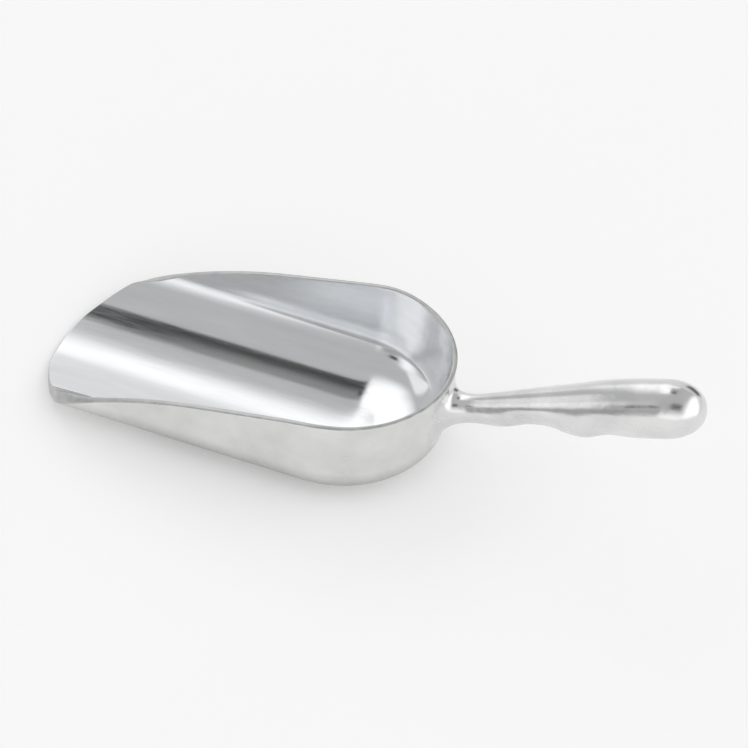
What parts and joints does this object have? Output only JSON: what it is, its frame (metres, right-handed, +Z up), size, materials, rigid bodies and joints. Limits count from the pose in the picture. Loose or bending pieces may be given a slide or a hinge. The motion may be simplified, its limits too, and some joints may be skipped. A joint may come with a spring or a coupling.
{
  "type": "ice scoop",
  "caption": "Cast aluminium ice scoop: a deep U-shaped trough with a half-round back and an open swept mouth, and a club-shaped grip rising from its back wall.",
  "frame": {"origin": "centre of the half-round back, on the plane the scoop rests on", "axes": "+X along the trough from its mouth towards the grip, +Y across the trough, +Z up out of it"},
  "size_m": [0.3047, 0.1026, 0.0846],
  "materials": {
    "bowl": "polished inside, satin as-cast outside",
    "handle": "half-polished",
    "weld_fillet": "dressed and half-polished"
  },
  "bodies": {
    "root": {"bowl": "bowl", "handle": "handle", "weld_fillet": "weld_fillet"}
  },
  "joints": []
}
